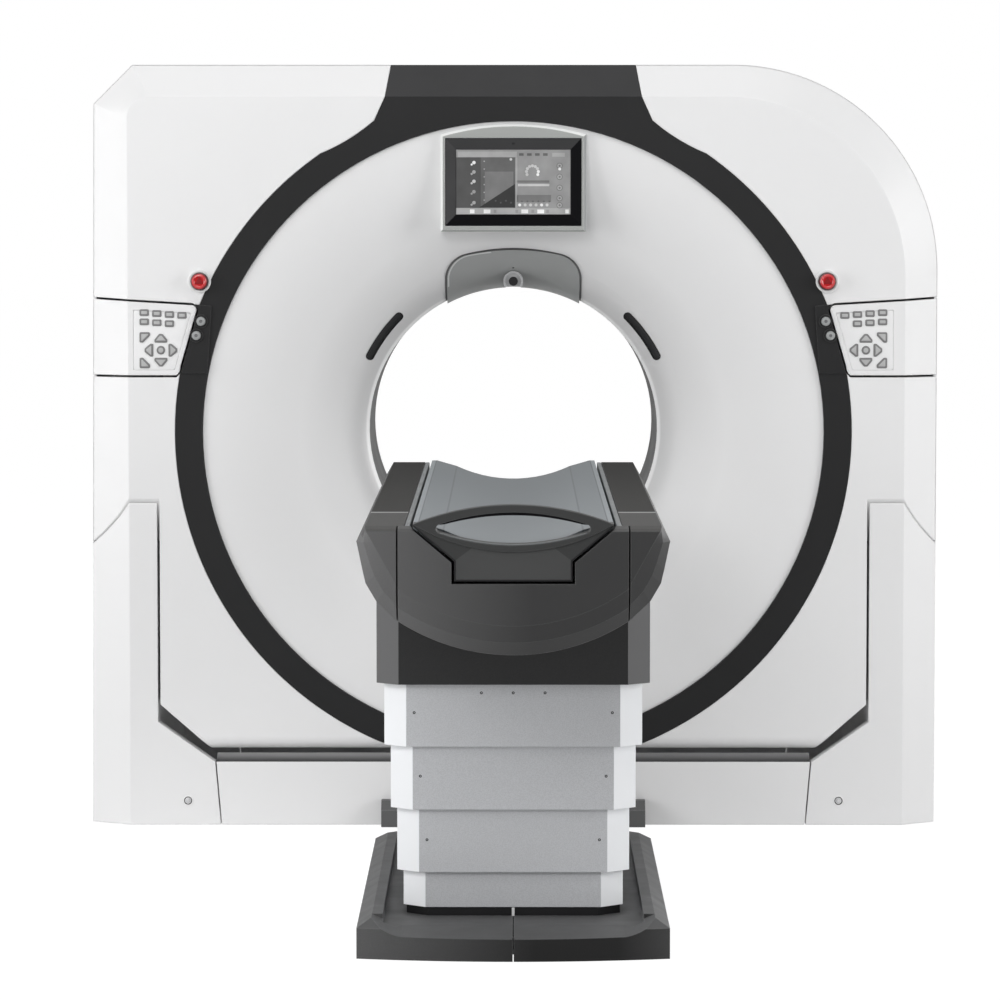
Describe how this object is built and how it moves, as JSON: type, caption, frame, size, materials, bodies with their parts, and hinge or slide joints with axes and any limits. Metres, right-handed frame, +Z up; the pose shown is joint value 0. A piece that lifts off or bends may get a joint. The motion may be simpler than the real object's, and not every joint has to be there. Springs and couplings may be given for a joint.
{
  "type": "ct scanner",
  "caption": "CT scanner: a tilting ring-shaped gantry with a round bore on a U-shaped stand, and a lifting patient table with a sliding cradle.",
  "frame": {"origin": "on the floor under the middle of the overall box", "axes": "+X across the gantry, to the right as one faces it from the table; +Y from the table into the gantry; +Z up"},
  "size_m": [2.03, 3.21, 1.822],
  "materials": {
    "white_shell": "satin white moulded cover",
    "funnel_white": "satin white moulded dish",
    "black_trim": "satin black moulding",
    "monitor_grey": "light grey moulding",
    "bezel_black": "gloss black rim",
    "screen_glass": "lit screen behind its front pane",
    "panel_grey": "grey moulding",
    "lens_black": "black lens and collar",
    "window_film": "translucent scan window film",
    "laser_smoke": "smoked laser window",
    "keypad_rubber": "moulded silicone keypad",
    "stop_red": "red stop button",
    "button_grey": "grey push button",
    "frame_steel": "painted steel weldment",
    "machined_steel": "machined steel",
    "ring_insulator": "insulating ring",
    "housing_metal": "painted housing",
    "table_dark": "textured dark grey cover",
    "skirt_dark": "dark sheet metal",
    "base_dark": "dark grey base cover",
    "cradle_carbon": "blue-grey laminate",
    "handle_black": "dark grip",
    "lift_cover_paint": "light grey powder coat"
  },
  "bodies": {
    "stand": {"stand_frame": "frame_steel", "pillar_cover_left": "white_shell", "pillar_cover_right": "white_shell", "stand_panel_front": "white_shell", "stand_panel_rear": "white_shell", "docking_block": "base_dark", "base_plate": "frame_steel", "base_cover_left": "base_dark", "base_cover_right": "base_dark", "pedestal_cover_4": "lift_cover_paint"},
    "gantry": {"front_cover_upper_left": "white_shell", "front_cover_upper_right": "white_shell", "front_cover_lower_left": "white_shell", "front_cover_lower_right": "white_shell", "ring_trim": "black_trim", "gantry_shell": "white_shell", "belly_shell": "white_shell", "rear_cover": "white_shell", "funnel_cover": "funnel_white", "scan_window": "window_film", "monitor_frame": "monitor_grey", "monitor_bezel": "bezel_black", "monitor_screen": "screen_glass", "window_panel": "panel_grey", "camera_lens": "lens_black", "laser_window_left": "laser_smoke", "laser_window_right": "laser_smoke", "control_pod_left": "white_shell", "control_pod_right": "white_shell", "keypad_left": "keypad_rubber", "keypad_right": "keypad_rubber", "tilt_frame": "frame_steel", "main_bearing": "machined_steel"},
    "rotor": {"rotor_drum": "machined_steel", "slip_ring": "ring_insulator", "xray_tube": "housing_metal", "collimator": "housing_metal", "detector_arc": "housing_metal", "high_voltage_generator": "housing_metal", "heat_exchanger": "housing_metal"},
    "table": {"table_frame": "frame_steel", "table_end_cover": "table_dark", "table_side_cover_left": "table_dark", "table_side_cover_right": "table_dark", "under_cover_near": "table_dark", "under_cover_far": "table_dark", "table_skirt": "skirt_dark"},
    "cradle": {"cradle": "cradle_carbon", "cradle_handle": "handle_black"},
    "pedestal_cover_1": {"pedestal_cover_1": "lift_cover_paint"},
    "pedestal_cover_2": {"pedestal_cover_2": "lift_cover_paint"},
    "pedestal_cover_3": {"pedestal_cover_3": "lift_cover_paint"},
    "scissor_outer": {"scissor_arms_outer": "frame_steel"},
    "scissor_inner": {"scissor_arms_inner": "frame_steel"},
    "estop_left": {"estop_button_left": "stop_red"},
    "round_button_upper_left": {"round_button_upper_left": "button_grey"},
    "round_button_lower_left": {"round_button_lower_left": "button_grey"},
    "estop_right": {"estop_button_right": "stop_red"},
    "round_button_upper_right": {"round_button_upper_right": "button_grey"},
    "round_button_lower_right": {"round_button_lower_right": "button_grey"}
  },
  "joints": [
    {"name": "gantry_tilt", "type": "hinge", "parent": "stand", "child": "gantry", "pos_m": [0, 1.175, 0.9455], "axis": [-1, 0, 0], "range_deg": [-30, 30]},
    {"name": "rotor_spin", "type": "hinge", "parent": "gantry", "child": "rotor", "pos_m": [0, 1.1, 0.9455], "axis": [0, 1, 0], "continuous": true},
    {"name": "table_lift", "type": "slide", "parent": "stand", "child": "table", "axis": [0, 0, 1], "range_m": [-0.43, 0.06]},
    {"name": "cradle_slide", "type": "slide", "parent": "table", "child": "cradle", "axis": [0, 1, 0], "range_m": [0, 1.6]},
    {"name": "pedestal_cover_1_slide", "type": "slide", "parent": "stand", "child": "pedestal_cover_1", "axis": [0, 0, 1], "range_m": [-0.3077, 0.0447]},
    {"name": "pedestal_cover_2_slide", "type": "slide", "parent": "stand", "child": "pedestal_cover_2", "axis": [0, 0, 1], "range_m": [-0.1817, 0.0271]},
    {"name": "pedestal_cover_3_slide", "type": "slide", "parent": "stand", "child": "pedestal_cover_3", "axis": [0, 0, 1], "range_m": [-0.0558, 0.0095]},
    {"name": "scissor_outer_swing", "type": "hinge", "parent": "stand", "child": "scissor_outer", "pos_m": [0, -0.87, 0.068], "axis": [1, 0, 0], "range_deg": [-41.4, 6.21]},
    {"name": "scissor_inner_swing", "type": "hinge", "parent": "table", "child": "scissor_inner", "pos_m": [0, -0.87, 0.668], "axis": [-1, 0, 0], "range_deg": [-41.4, 6.21]},
    {"name": "estop_press_left", "type": "slide", "parent": "gantry", "child": "estop_left", "axis": [0, 1, 0], "range_m": [0, 0.006], "stiffness_N_per_m": 900},
    {"name": "round_button_press_upper_left", "type": "slide", "parent": "gantry", "child": "round_button_upper_left", "axis": [0, 1, 0], "range_m": [0, 0.003], "stiffness_N_per_m": 600},
    {"name": "round_button_press_lower_left", "type": "slide", "parent": "gantry", "child": "round_button_lower_left", "axis": [0, 1, 0], "range_m": [0, 0.003], "stiffness_N_per_m": 600},
    {"name": "estop_press_right", "type": "slide", "parent": "gantry", "child": "estop_right", "axis": [0, 1, 0], "range_m": [0, 0.006], "stiffness_N_per_m": 900},
    {"name": "round_button_press_upper_right", "type": "slide", "parent": "gantry", "child": "round_button_upper_right", "axis": [0, 1, 0], "range_m": [0, 0.003], "stiffness_N_per_m": 600},
    {"name": "round_button_press_lower_right", "type": "slide", "parent": "gantry", "child": "round_button_lower_right", "axis": [0, 1, 0], "range_m": [0, 0.003], "stiffness_N_per_m": 600}
  ],
  "couplings": [
    {"joint": "pedestal_cover_1_slide", "follows": "table_lift", "ratio": 0.711},
    {"joint": "pedestal_cover_2_slide", "follows": "table_lift", "ratio": 0.418},
    {"joint": "pedestal_cover_3_slide", "follows": "table_lift", "ratio": 0.125},
    {"joint": "scissor_outer_swing", "follows": "table_lift", "rad_per_m": 1.66},
    {"joint": "scissor_inner_swing", "follows": "table_lift", "rad_per_m": 1.66}
  ]
}
